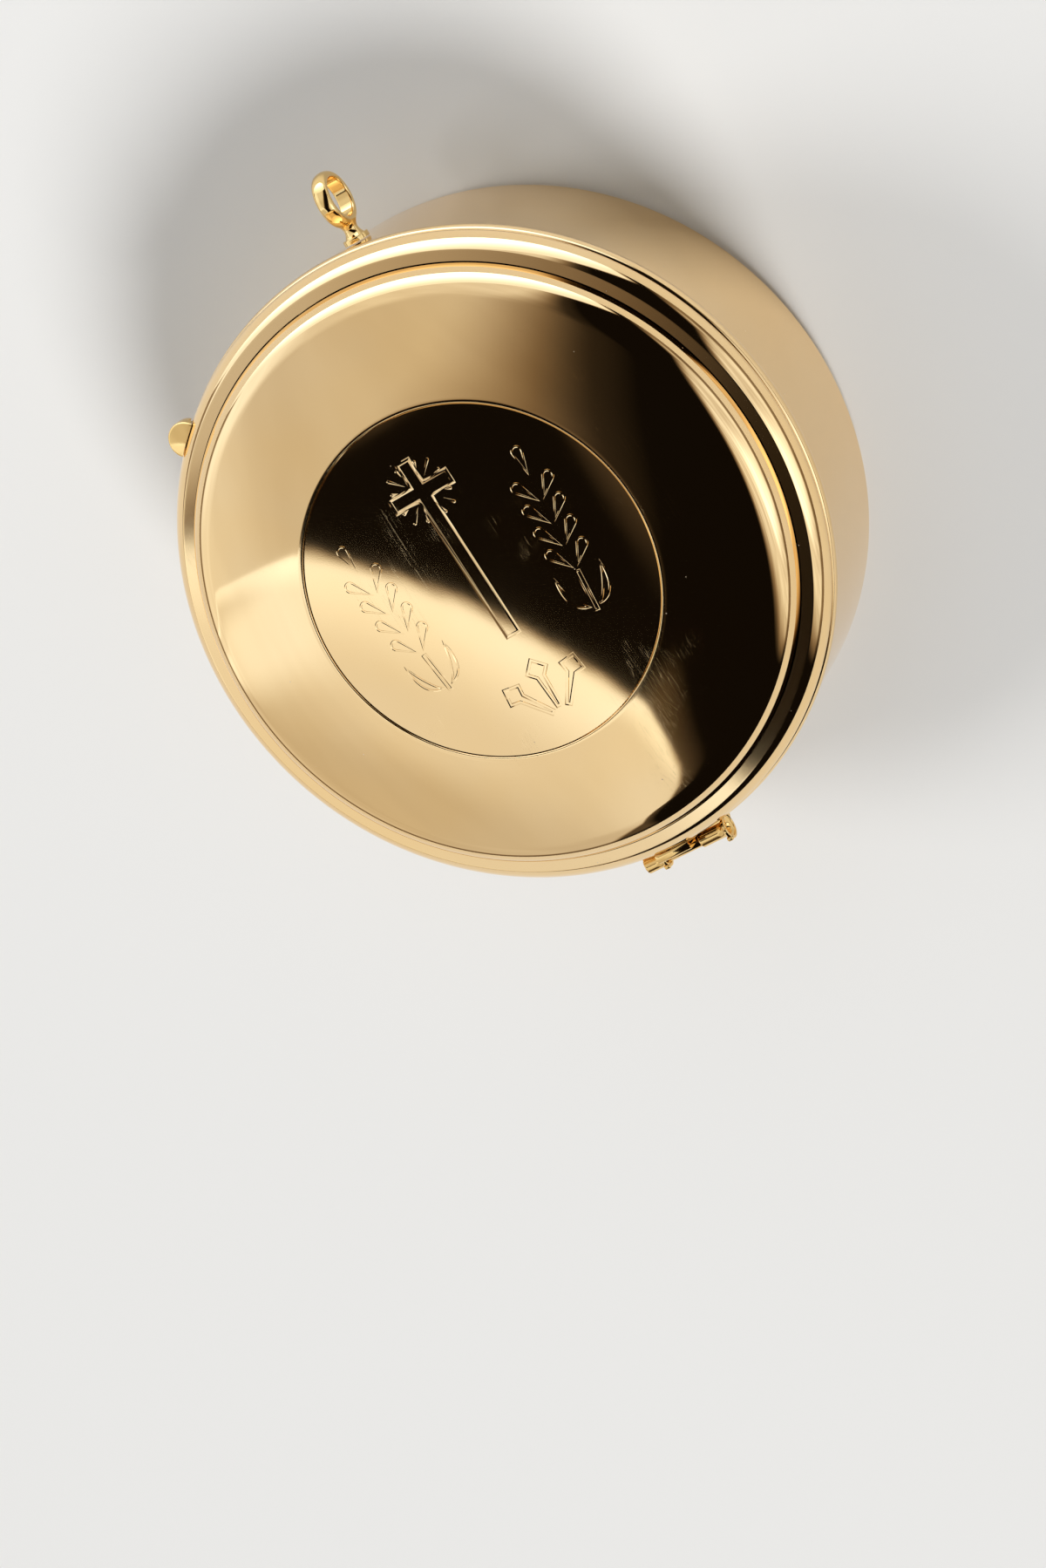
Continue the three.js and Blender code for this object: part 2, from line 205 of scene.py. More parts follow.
def mesh_object(name, points, faces):
    """A mesh in millimetres as an object in metres, with its faces turned outwards."""
    mesh = bpy.data.meshes.new(name)
    mesh.from_pydata([Vector(p) * MM for p in points], [], faces)
    work = bmesh.new()
    work.from_mesh(mesh)
    bmesh.ops.remove_doubles(work, verts=work.verts, dist=WELD)
    bmesh.ops.recalc_face_normals(work, faces=work.faces)
    work.to_mesh(mesh)
    work.free()
    smooth(mesh)
    obj = bpy.data.objects.new(name, mesh)
    bpy.context.scene.collection.objects.link(obj)
    return obj


def smooth(mesh):
    mesh.shade_smooth()
    mesh.set_sharp_from_angle(angle=radians(SHARP))


def lathe(name, profile, turns=TURNS):
    """Solid of revolution about Z. A profile that starts on the axis ends there too."""
    solid = profile[0][0] == 0
    rows = straight(profile)
    if solid:
        rows = [p for p in rows if p[0] > 0]
    points = []
    for r, z in rows:
        for i in range(turns):
            a = 2 * pi * i / turns
            points.append((r * cos(a), r * sin(a), z))
    faces = []
    count = len(rows)
    for row in range(count - 1 if solid else count):
        this, after = row * turns, (row + 1) % count * turns
        for i in range(turns):
            j = (i + 1) % turns
            faces.append((this + i, this + j, after + j, after + i))
    if solid:
        faces.append(tuple(range(turns)))
        faces.append(tuple(range((count - 1) * turns, count * turns)))
    return mesh_object(name, points, faces)


def turned_along(obj, axis):
    """Lays a piece turned about Z along +X or -Y."""
    turn = Matrix.Rotation(pi / 2, 4, "Y" if axis == "X" else "X")
    obj.data.transform(turn)
    return obj


def moved(obj, x=0.0, y=0.0, z=0.0):
    """Shifts a piece's mesh, in millimetres."""
    obj.data.transform(Matrix.Translation(Vector((x, y, z)) * MM))
    return obj


def prism(name, points):
    """A solid between two ends: half of the points go round one end, and half round the other."""
    count = len(points) // 2
    faces = [tuple(range(count)), tuple(range(count, 2 * count))]
    for i in range(count):
        j = (i + 1) % count
        faces.append((i, j, count + j, count + i))
    return mesh_object(name, points, faces)


def extruded_x(name, outline, x0, x1):
    """A closed outline of (y, z) points, drawn out from x0 to x1."""
    return prism(name, [(x, y, z) for x in (x0, x1) for y, z in outline])


def extruded_z(name, outline, z0, z1):
    """A closed outline of (x, y) points, drawn out from z0 to z1."""
    return prism(name, [(x, y, z) for z in (z0, z1) for x, y in outline])


def apply_modifiers(obj):
    """Makes what obj's modifiers show into its own mesh."""
    bpy.context.view_layer.update()
    depsgraph = bpy.context.evaluated_depsgraph_get()
    mesh = bpy.data.meshes.new_from_object(obj.evaluated_get(depsgraph))
    obj.modifiers.clear()
    obj.data = mesh
    smooth(mesh)
    return obj


def combined(obj, other, operation):
    """Joins, cuts or intersects obj with other, which is used up."""
    modifier = obj.modifiers.new("Combine", "BOOLEAN")
    modifier.operation = operation
    modifier.solver = "EXACT"
    modifier.object = other
    apply_modifiers(obj)
    bpy.data.objects.remove(other)
    return obj


def with_broken_edges(obj, width, segments=3):
    """Rounds the sharp edges of obj."""
    modifier = obj.modifiers.new("Broken edges", "BEVEL")
    modifier.width = width * MM
    modifier.segments = segments
    modifier.limit_method = "ANGLE"
    modifier.angle_limit = radians(BREAK_OVER)
    return apply_modifiers(obj)


def cylinder_z(name, radius, z0, z1):
    """A round bar along Z."""
    return lathe(name, [(0, z0), (radius, z0), (radius, z1), (0, z1)])


# Shapes of the base

def base_cup():
    inside = BASE_R - BASE_WALL
    return lathe("polished_cup", [
        (0, 0),
        *arc(BASE_R - BASE_CORNER, BASE_CORNER, BASE_CORNER, BASE_CORNER, -90, 0),
        (BASE_R, RING_UNDER),
        (inside, RING_UNDER),
        *arc(inside - BASE_INNER_CORNER, BASE_WALL + BASE_INNER_CORNER,
             BASE_INNER_CORNER, BASE_INNER_CORNER, 0, -90, step=6),
        (0, BASE_WALL),
    ])


def mouth_ring():
    half = (SEAM - RING_UNDER) / 2
    inside = BASE_R - BASE_WALL
    return lathe("beaded_mouth_ring", [
        (inside, RING_UNDER),
        *arc(BASE_R, RING_UNDER + half, BEAD_R - BASE_R, half, -90, 90),
        (inside, SEAM),
    ])


def stepped_collar():
    skirt = collar_high.x
    upstand = LID_R - LID_SHEET - SLIDE_GAP
    ledge = SEAM - LAND_GAP
    top = collar_high.z
    return lathe("stepped_collar", [
        (skirt - COLLAR_SHEET, collar_low.z),
        (skirt, collar_low.z),
        *rounding(skirt - LIP_ROUND, ledge - LIP_ROUND, LIP_ROUND, 0, 90),
        (upstand, ledge),
        *rounding(upstand - COLLAR_LEAD, top - COLLAR_LEAD, COLLAR_LEAD, 0, 90),
        *rounding(upstand - COLLAR_SHEET + LIP_ROUND, top - LIP_ROUND, LIP_ROUND, 90, 180),
        (upstand - COLLAR_SHEET, ledge - COLLAR_SHEET),
        (skirt - COLLAR_SHEET, ledge - COLLAR_SHEET),
    ])


# Shapes of the lid

def domed_lid():
    seat = MEDAL_R + BRAZE_GAP
    shoulder_z = SEAM + LID_WALL
    shoulder_x = LID_R - SHOULDER_R
    join_r = shoulder_x + SHOULDER_R * sin(radians(SHOULDER_SLOPE))
    crown_r = (join_r - seat) / (sin(radians(SHOULDER_SLOPE)) - sin(radians(LIP_SLOPE)))
    crown_x = seat - crown_r * sin(radians(LIP_SLOPE))
    crown_z = shoulder_z + (SHOULDER_R - crown_r) * cos(radians(SHOULDER_SLOPE))
    lip = crown_z + crown_r * cos(radians(LIP_SLOPE))
    seat_out = seat + LID_SHEET
    ceiling = MEDAL_BACK - LID_SHEET
    inner_crown = crown_r - LID_SHEET
    inner_shoulder = SHOULDER_R - LID_SHEET
    seat_angle = 90 - degrees(asin((seat_out - crown_x) / inner_crown))
    end = 90 - SHOULDER_SLOPE
    fine = SHOULDER_SLOPE / 24
    return lathe("polished_domed_lid", [
        (0, ceiling),
        (seat_out, ceiling),
        *arc(crown_x, crown_z, inner_crown, inner_crown, seat_angle, end, step=fine),
        *arc(shoulder_x, shoulder_z, inner_shoulder, inner_shoulder, end, 0)[1:],
        (LID_R - LID_SHEET, SEAM),
        (LID_R, SEAM),
        *arc(shoulder_x, shoulder_z, SHOULDER_R, SHOULDER_R, 0, end, step=2),
        *arc(crown_x, crown_z, crown_r, crown_r, end, 90 - LIP_SLOPE, step=fine)[1:-1],
        *rounding(seat + LIP_ROUND, lip - LIP_ROUND, LIP_ROUND, 90, 180),
        (seat, MEDAL_BACK),
        (0, MEDAL_BACK),
    ])


def ring_shoulder(grow=0.0):
    """The lid ring's curved shoulder, from its upright side in to the land round the dome."""
    start, end = radians(RING_SWEEP_FROM), radians(RING_SWEEP_TO)
    side = LID_RING_R - RING_EDGE
    rise = SEAM + RING_SIDE
    sweep_x = side - (RING_SWEEP - RING_EDGE) * cos(start)
    sweep_z = rise - (RING_SWEEP - RING_EDGE) * sin(start)
    land_x = sweep_x + (RING_SWEEP - RING_LAND_EDGE) * cos(end)
    land_z = sweep_z + (RING_SWEEP - RING_LAND_EDGE) * sin(end)
    sweep, edge, corner = RING_SWEEP + grow, RING_EDGE + grow, RING_LAND_EDGE + grow
    return [
        *arc(side, rise, edge, edge, 0, RING_SWEEP_FROM),
        *arc(sweep_x, sweep_z, sweep, sweep, RING_SWEEP_FROM, RING_SWEEP_TO)[1:],
        *arc(land_x, land_z, corner, corner, RING_SWEEP_TO, 90)[1:],
    ]


def rounded_rim():
    shoulder = ring_shoulder()
    bore = LID_R + BRAZE_GAP
    return lathe("rounded_lid_rim", [
        (bore, SEAM),
        *rounding(LID_RING_R - RING_UNDER_ROUND, SEAM + RING_UNDER_ROUND, RING_UNDER_ROUND, -90, 0),
        *shoulder,
        (bore, shoulder[-1][1]),
    ])


# Engraving. Its own coordinates have x to the right and y up, as someone reads the lid.

GROOVE_WIDTH = 0.32
GROOVE_DEPTH = 0.06
GROOVE_FLOOR = 0.5                # width of a groove's floor, as a share of its own
MITRE_LIMIT = 0.4                 # keeps the mitred corner of a sharp tip short
FLATNESS = 0.99999                # upward part of the normal of the flat face
JOIN_LIMIT = 1e-5                 # points of the engraving nearer than this are one
EMBLEM_TURN = 0.4
CROSS_Y = 8.75                    # where the beams cross
CROSS_TOP = 11.5
CROSS_FOOT = -4.9
CROSS_ARM = 2.85
CROSS_BEAM = 1.2
EAR_X = 7.4
EAR_FOOT = -6.4
EAR_LEAN = 6                      # degrees outwards
EAR_STEM = 4.0                    # length of stem below the first grains
EAR_CUT = 0.6                     # width and depth of an ear's grooves, as a share of the cross's
GRAIN_LENGTH = 2.3
GRAIN_WIDTH = 0.85
GRAIN_PITCH = 2.0
GRAIN_LEAN = 38
GRAIN_ASIDE = 0.3                 # of a grain's root from the middle of the stem
TOP_GRAIN_RISE = 0.3              # of the top grain's root, beyond the pitch
GRAIN_PAIRS = 4
STEM_HALF = 0.16                  # half its width
STEM_GAP = 0.5                    # between stem and first grains
BLADE_ROOT = (0.5, 0.4)           # root, bend and tip of the leaf blades at the foot of an ear
BLADE_BEND = (1.9, 0.9)
BLADE_TIP = (2.1, 3.5)
BLADE_WIDTH = 0.55
NAIL_POINT_Y = -13.1              # the nails point here, and start a little short of it
NAIL_START = 1.3
NAIL_LENGTH = 4.7
NAIL_SPREAD = 38
NAIL_HEAD = 0.95
NAIL_NECK = 0.33
NAIL_TIP = 0.17
RAY_SPREAD = 24                   # degrees between the three rays in a corner of the cross
LONG_RAY = (1.35, 1.6)            # start and length of the middle ray
SHORT_RAY = (1.5, 1.15)
RAY_WIDTH = 0.3
RAY_BEVEL = 0.07
RAY_CUT = 0.8                     # depth of a ray, as a share of a groove's


def placed(points, x, y, angle):
    """Points turned by angle and moved to (x, y)."""
    c, s = cos(radians(angle)), sin(radians(angle))
    return [Vector((x + c * px - s * py, y + s * px + c * py)) for px, py in points]


def offset(points, distance):
    """A closed outline moved sideways by distance, with mitred corners."""
    result = []
    for i, point in enumerate(points):
        before = (point - points[i - 1]).normalized()
        after = (points[(i + 1) % len(points)] - point).normalized()
        side = Vector((-before.y - after.y, before.x + after.x)).normalized()
        reach = max(side.dot(Vector((-after.y, after.x))), MITRE_LIMIT)
        result.append(point + side * (distance / reach))
    return result


def drop(x, y, angle, length, width):
    """A grain or ray: pointed at its root in (x, y), rounded at its far end."""
    half = width / 2
    tip = length - half
    lean = degrees(asin(half / tip))
    return placed([(0, 0), *arc(0, tip, half, half, -lean, 180 + lean, step=18)], x, y, angle)


def cross_outline():
    b, a = CROSS_BEAM / 2, CROSS_ARM
    low, high = CROSS_Y - b, CROSS_Y + b
    right = [(b, CROSS_FOOT), (b, low), (a, low), (a, high), (b, high), (b, CROSS_TOP)]
    return placed(right + [(-x, y) for x, y in reversed(right)], 0, 0, 0)


def nail_outline(angle):
    """A nail that points at the foot of the emblem."""
    h = NAIL_HEAD
    neck = NAIL_LENGTH - h + NAIL_NECK
    right = [(NAIL_TIP, NAIL_START), (NAIL_NECK, neck), (h, NAIL_LENGTH), (0, NAIL_LENGTH + h)]
    left = [(-x, y) for x, y in reversed(right[:-1])]
    return placed(right + left, 0, NAIL_POINT_Y, angle)


def leaf_blade(hand):
    """A slender leaf that curves out and up from the stem, hand -1 at its left and +1 at its right."""
    root, bend, tip = Vector(BLADE_ROOT), Vector(BLADE_BEND), Vector(BLADE_TIP)
    rows = 10
    edges = {-1: [], 1: []}
    for i in range(rows + 1):
        t = i / rows
        spine = root * (1 - t) ** 2 + bend * 2 * t * (1 - t) + tip * t ** 2
        along = ((bend - root) * (1 - t) + (tip - bend) * t).normalized()
        half = BLADE_WIDTH / 2 * sin(pi * t)
        for way in edges:
            edges[way].append(spine + Vector((along.y, -along.x)) * half * way)
    points = edges[1] + edges[-1][-2:0:-1]
    turned = [(hand * p.x, p.y) for p in points]
    return turned if hand > 0 else turned[::-1]


def wheat_ear(side):
    """Outlines of one ear of wheat, side -1 at the left and +1 at the right."""
    lean = -side * EAR_LEAN
    outlines = []

    def on_stem(points, angle, height, across=0.0):
        base = placed([(across, height)], side * EAR_X, EAR_FOOT, lean)[0]
        outlines.append(drop(base.x, base.y, lean + angle, *points))

    for i in range(GRAIN_PAIRS):
        height = EAR_STEM + i * GRAIN_PITCH
        for hand in (-1, 1):
            on_stem((GRAIN_LENGTH, GRAIN_WIDTH), -hand * GRAIN_LEAN, height, hand * GRAIN_ASIDE)
    on_stem((GRAIN_LENGTH, GRAIN_WIDTH), 0, EAR_STEM + GRAIN_PAIRS * GRAIN_PITCH + TOP_GRAIN_RISE)
    half, top = STEM_HALF, EAR_STEM - STEM_GAP
    stem = [(-half, 0), (half, 0), (half, top), (-half, top)]
    outlines.append(placed(stem, side * EAR_X, EAR_FOOT, lean))
    for hand in (-1, 1):
        outlines.append(placed(leaf_blade(hand), side * EAR_X, EAR_FOOT, lean))
    return outlines


def ray_drops():
    """Short rays in the four corners of the cross."""
    drops = []
    for corner in (45, 135, 225, 315):
        for spread in (-RAY_SPREAD, 0, RAY_SPREAD):
            angle = corner + spread
            start, length = SHORT_RAY if spread else LONG_RAY
            x, y = start * cos(radians(angle)), start * sin(radians(angle))
            drops.append(drop(x, CROSS_Y + y, angle - 90, length, RAY_WIDTH))
    return drops


def engraved_medallion():
    """The disc, its face cut with round-bottomed grooves along every outline."""
    flat, heights, edges = [], [], []

    def ring(points, depth):
        first = len(flat)
        flat.extend(points)
        heights.extend([MEDAL_FACE - depth] * len(points))
        edges.extend((first + i, first + (i + 1) % len(points)) for i in range(len(points)))

    rim = MEDAL_R - MEDAL_EDGE
    ring([Vector(p) for p in arc(0, 0, rim, rim, 0, 360, step=360 / TURNS)[:-1]], 0)
    outlines = [(cross_outline(), 1)]
    outlines += [(nail_outline(angle), 1) for angle in (-NAIL_SPREAD, 0, NAIL_SPREAD)]
    outlines += [(outline, EAR_CUT) for side in (-1, 1) for outline in wheat_ear(side)]
    for outline, cut in outlines:
        width, depth = GROOVE_WIDTH * cut, GROOVE_DEPTH * cut
        lip, floor = width / 2, width * GROOVE_FLOOR / 2
        for distance, sunk in ((lip, 0), (floor, depth), (-floor, depth), (-lip, 0)):
            ring(turned_face(offset(outline, distance)), sunk)
    for outline in ray_drops():
        ring(turned_face(outline), 0)
        ring(turned_face(offset(outline, RAY_BEVEL)), GROOVE_DEPTH * RAY_CUT)

    found, _, faces, origins, _, _ = delaunay_2d_cdt(flat, edges, [], 0, JOIN_LIMIT)
    place = {}
    points = []
    for i, point in enumerate(found):
        source = origins[i][0] if origins[i] else None
        height = heights[source] if source is not None else MEDAL_FACE
        points.append((point.x, point.y, height))
        for origin in origins[i]:
            place[origin] = i
    top = [place[i] for i in range(TURNS)]
    faces = [tuple(face) for face in faces]
    for radius, height in ((MEDAL_R, MEDAL_FACE - MEDAL_EDGE), (MEDAL_R, MEDAL_BACK)):
        first = len(points)
        points += [(x, y, height) for x, y in arc(0, 0, radius, radius, 0, 360, step=360 / TURNS)[:-1]]
        below = list(range(first, first + TURNS))
        for i in range(TURNS):
            j = (i + 1) % TURNS
            faces.append((top[i], top[j], below[j], below[i]))
        top = below
    faces.append(tuple(top))
    obj = mesh_object("engraved_medallion", points, faces)
    keep_lips_crisp(obj)
    return obj


def turned_face(points):
    """From the emblem's own coordinates to the lid's."""
    c, s = cos(radians(180 + EMBLEM_TURN)), sin(radians(180 + EMBLEM_TURN))
    return [Vector((c * p.x - s * p.y, s * p.x + c * p.y)) for p in points]


def keep_lips_crisp(obj):
    """Crisp edges only where a groove meets the flat face and at the disc's rim."""
    work = bmesh.new()
    work.from_mesh(obj.data)
    flat = {face.index for face in work.faces if face.normal.z > FLATNESS}
    rim = (MEDAL_R - 2 * MEDAL_EDGE) * MM
    for edge in work.edges:
        kinds = {face.index in flat for face in edge.link_faces}
        at_rim = all(vert.co.xy.length > rim for vert in edge.verts)
        edge.smooth = not (at_rim or len(kinds) == 2)
    work.to_mesh(obj.data)
    work.free()


# Shapes of the fittings

def round_x(name, y, z, radius, x0, x1):
    """A round bar along X."""
    outline = arc(y, z, radius, radius, 0, 360, step=360 / SMALL_TURNS)[:-1]
    return extruded_x(name, outline, x0, x1)


def knuckle_side(mouth, length, inset):
    """Outside of an outer knuckle: plain at 0, and flared to its mouth at the other end."""
    edge = KNUCKLE_EDGE
    points = [
        *rounding(KNUCKLE_R - edge, edge, edge, -90, 0),
        *arc(mouth, length - FLARE_LENGTH, mouth - KNUCKLE_R, FLARE_LENGTH - FLARE_LIP, 180, 90, step=6),
        *rounding(mouth - edge, length - edge, edge, 0, 90),
    ]
    return [(r - inset, z) for r, z in points]


def laid_on_hinge(obj, x):
    """Lays a piece turned about Z along the hinge, with its start at x and its end towards -X."""
    obj.data.transform(Matrix.Rotation(-pi / 2, 4, "Y"))
    return moved(obj, x, HINGE_Y, HINGE_Z)


def trumpet_knuckle(mouth, length, plain_end):
    """An outer knuckle: a rolled tube that opens into a trumpet mouth towards -X."""
    edge = KNUCKLE_EDGE
    bore = PIN_R + PIN_GAP
    throat = mouth - FLARE_WALL
    tube = laid_on_hinge(lathe("knuckle", [
        (bore, 0),
        *knuckle_side(mouth, length, 0),
        *rounding(throat + edge, length - edge, edge, 90, 180),
        *arc(throat, length - MOUTH_DEPTH, throat - bore, MOUTH_DEPTH - 2 * edge, 90, 180, step=9)[1:],
    ], SMALL_TURNS), plain_end)
    a = radians(ROLL_ANGLE)
    side = Vector((-sin(a), cos(a))) * ROLL_WIDTH / 2
    out = Vector((cos(a), sin(a)))
    foot, head = out * (KNUCKLE_R - ROLL_DEPTH), out * (mouth + ROLL_OUT)
    corners = [Vector((HINGE_Y, HINGE_Z)) + p for p in (foot - side, head - side, head + side, foot + side)]
    line = extruded_x("roll_line", corners, plain_end - length - ROLL_PAST, plain_end + ROLL_PAST)
    return combined(tube, line, "DIFFERENCE")


def knuckle_room(mouth, length, plain_end):
    """What an outer knuckle takes out of the leaf, up to the middle of its sheet."""
    side = knuckle_side(mouth, length, FLARE_WALL / 2)
    start, end = -CUT_PAST, length + CUT_PAST
    profile = [(0, start), (side[0][0], start), *side, (side[-1][0], end), (0, end)]
    return laid_on_hinge(lathe("knuckle_room", profile, SMALL_TURNS), plain_end)


def roll_nub(mouth, x0):
    """Rounded bump on the rim of a mouth, where the rolled sheet ends."""
    a = radians(NUB_ANGLE)
    nub = lathe("nub", [
        (0, 0),
        *rounding(NUB_R - NUB_EDGE, NUB_EDGE, NUB_EDGE, -90, 0),
        *rounding(NUB_R - NUB_EDGE, NUB_LENGTH - NUB_EDGE, NUB_EDGE, 0, 90),
        (0, NUB_LENGTH),
    ], SMALL_TURNS // 2)
    turned_along(nub, "X")
    return moved(nub, x0, HINGE_Y + mouth * cos(a), HINGE_Z + mouth * sin(a))


def rolled_base_leaf():
    """Foot on the cup wall under the bead, and the two outer knuckles."""
    half = base_leaf_high.x
    notch_left = lid_leaf_low.x - KNUCKLE_GAP
    notch_right = lid_leaf_high.x + KNUCKLE_GAP
    knuckles = ((END_MOUTH, notch_left + half, notch_left), (INNER_MOUTH, half - notch_right, half))
    foot_in = sqrt(BASE_R ** 2 - half ** 2) - LEAF
    foot_out = BASE_R + SEAT_GAP + LEAF
    foot_top = RING_UNDER - BODY_GAP
    under = HINGE_Z - KNUCKLE_R
    web_top = HINGE_Z + WEB_RISE
    leaf = extruded_x("rolled_base_leaf", [
        (foot_in, base_leaf_low.z), (foot_out, base_leaf_low.z), (foot_out, under - KNUCKLE_R),
        (HINGE_Y, under), (HINGE_Y, web_top), (foot_out, web_top), (foot_out, foot_top), (foot_in, foot_top),
    ], -half, half)
    for mouth, length, plain_end in knuckles:
        combined(leaf, knuckle_room(mouth, length, plain_end), "DIFFERENCE")
    notch = round_x("notch", HINGE_Y, HINGE_Z, LID_KNUCKLE_R + BODY_GAP, notch_left, notch_right)
    combined(leaf, notch, "DIFFERENCE")
    combined(leaf, cylinder_z("wall", BASE_R + SEAT_GAP, -CUT_PAST, SEAM), "DIFFERENCE")
    with_broken_edges(leaf, LEAF_EDGE)
    for mouth, length, plain_end in knuckles:
        combined(leaf, trumpet_knuckle(mouth, length, plain_end), "UNION")
        combined(leaf, roll_nub(mouth - NUB_SINK, plain_end - length), "UNION")
    return leaf


def rolled_lid_leaf():
    """Middle knuckle, and the strap that comes down to it from the lid's rim ring."""
    left, right = lid_leaf_low.x, lid_leaf_high.x
    top = SEAM + STRAP_RISE
    strap_in = BEAD_R + STRAP_GAP
    strap_out = strap_in + STRAP
    root = HINGE_Z + sqrt(LID_KNUCKLE_R ** 2 - (HINGE_Y - strap_out) ** 2)
    turn = degrees(acos((strap_out - HINGE_Y) / LID_KNUCKLE_R))
    leaf = extruded_x("rolled_lid_leaf", [
        (LID_R, top - STRAP),
        (strap_in - STRAP_CHAMFER, top - STRAP),
        (strap_in, top - STRAP - STRAP_CHAMFER),
        *arc(HINGE_Y, HINGE_Z, LID_KNUCKLE_R, LID_KNUCKLE_R, 180, 360 + turn, step=6),
        (strap_out, root + STRAP_CHAMFER),
        *arc(strap_out - STRAP_BEND, top - STRAP_BEND, STRAP_BEND, STRAP_BEND, 0, 90, step=9),
        (LID_R, top),
    ], left, right)
    combined(leaf, cylinder_z("ring", LID_RING_R + SEAT_GAP, SEAM - CUT_PAST, LID_TOP), "DIFFERENCE")
    with_broken_edges(leaf, STRAP_EDGE)
    bore = round_x("bore", HINGE_Y, HINGE_Z, PIN_R + PIN_GAP, left - CUT_PAST, right + CUT_PAST)
    return combined(leaf, bore, "DIFFERENCE")


def hinge_rod():
    half = pin_high.x
    dome = PIN_DOME
    rod = lathe("hinge_rod", [
        (0, -half),
        (PIN_R - dome, -half),
        *rounding(PIN_R - dome, -half + dome, dome, -90, 0)[1:],
        *rounding(PIN_R - dome, half - dome, dome, 0, 90),
        (0, half),
    ], SMALL_TURNS)
    return moved(turned_along(rod, "X"), y=HINGE_Y, z=HINGE_Z)


def half_round_tab():
    outline = arc(LID_RING_R, 0, TAB_R, TAB_R, -90, 90, step=5)
    outline += [(LID_RING_R - TAB_ROOT, TAB_R), (LID_RING_R - TAB_ROOT, -TAB_R)]
    tab = extruded_z("half_round_tab", outline, tab_low.z, tab_high.z)
    with_broken_edges(tab, TAB_ROUND, segments=5)
    shoulder = ring_shoulder(SEAT_GAP)
    under = SEAM - CUT_PAST
    ring = [(0, under), (shoulder[0][0], under), *shoulder, (0, shoulder[-1][1])]
    combined(tab, lathe("ring", ring), "DIFFERENCE")
    combined(tab, cylinder_z("bead", BEAD_R + BEAD_GAP, 0, SEAM + RING_UNDER_ROUND), "DIFFERENCE")
    tab.data.transform(Matrix.Rotation(radians(TAB_ANGLE), 4, "Z"))
    return tab


def at_loop(obj):
    """Turns a piece made on -Y to where the cord ring stands."""
    obj.data.transform(Matrix.Rotation(radians(LOOP_ANGLE + 90), 4, "Z"))
    return obj


def soldered_boss():
    edge, face = BOSS_EDGE, BOSS_FACE
    boss = lathe("soldered_boss", [
        (0, BASE_R - CUT_PAST),
        (BOSS_R, BASE_R - CUT_PAST),
        *rounding(BOSS_R - edge, face - edge, edge, 0, 90),
        (0, face),
    ], SMALL_TURNS)
    moved(turned_along(boss, "-Y"), z=LOOP_Z)
    return at_loop(combined(boss, cylinder_z("wall", BASE_R + SEAT_GAP, 0, SEAM), "DIFFERENCE"))


def cord_loop():
    half = LOOP_WIDTH / 2
    outside = LOOP_BORE + LOOP_BAND
    centre = BOSS_FACE + NECK_LENGTH + outside
    crown, inner = LOOP_CROWN, LOOP_INNER_ROUND
    band = lathe("cord_loop", [
        *rounding(LOOP_BORE + inner, -half + inner, inner, 180, 270),
        *arc(outside - crown, 0, crown, half, -90, 90, step=6),
        *rounding(LOOP_BORE + inner, half - inner, inner, 90, 180),
    ], SMALL_TURNS)
    moved(turned_along(band, "X"), y=-centre, z=LOOP_Z)
    end = centre - LOOP_BORE - LOOP_BAND / 2
    rows = 12
    waist = [
        (NECK_R + NECK_FLARE * (2 * i / rows - 1) ** 2, BOSS_FACE + (end - BOSS_FACE) * i / rows)
        for i in range(rows + 1)
    ]
    neck = lathe("neck", [(0, BOSS_FACE), *waist, (0, end)], SMALL_TURNS)
    moved(turned_along(neck, "-Y"), z=LOOP_Z)
    return at_loop(combined(band, neck, "UNION"))


# Materials. Noise scales are per millimetre.

GOLD = (0.93, 0.65, 0.315, 1)
PALE_GOLD = (0.94, 0.69, 0.375, 1)
YELLOW_GOLD = (0.94, 0.68, 0.30, 1)
DEEP_GOLD = (0.92, 0.62, 0.24, 1)
FLOOR = (0.70, 0.695, 0.68, 1)
PALER_FLOOR = (0.73, 0.725, 0.71, 1)
DUST = (0.9, 0.88, 0.84, 1)
WAVE_SCALE = 0.22
WAVE_DEPTH = 0.0015
TEXTURE_SCALE = 9.0
TEXTURE_DEPTH = 0.00004
SCRATCHES = ((20, 5.0), (75, 7.0), (128, 4.0), (163, 9.0))    # direction and density of each set
SCRATCH_TILT = (12, 7)            # degrees by which a set leaves the level
SCRATCH_STRETCH = 60              # how much longer than wide the noise is that draws them
SCRATCH_WIDTH = 0.0035            # in that noise
SCRATCH_DEPTH = 0.0003
SCRATCH_ROUGHNESS = 0.03          # this and the next three are what a mark adds to the roughness
SMEAR_ROUGHNESS = 0.006
RUB_ROUGHNESS = 0.09
DUST_ROUGHNESS = 0.4
RUB_PALENESS = 0.35               # share of the paler gold on a rubbed edge
DUST_SCALE = 0.9
DUST_SPECK = (0.03, 0.06)         # where a speck begins to fade and where it ends, at that scale
DUST_COVER = 0.5                  # share of the dust's colour on a speck


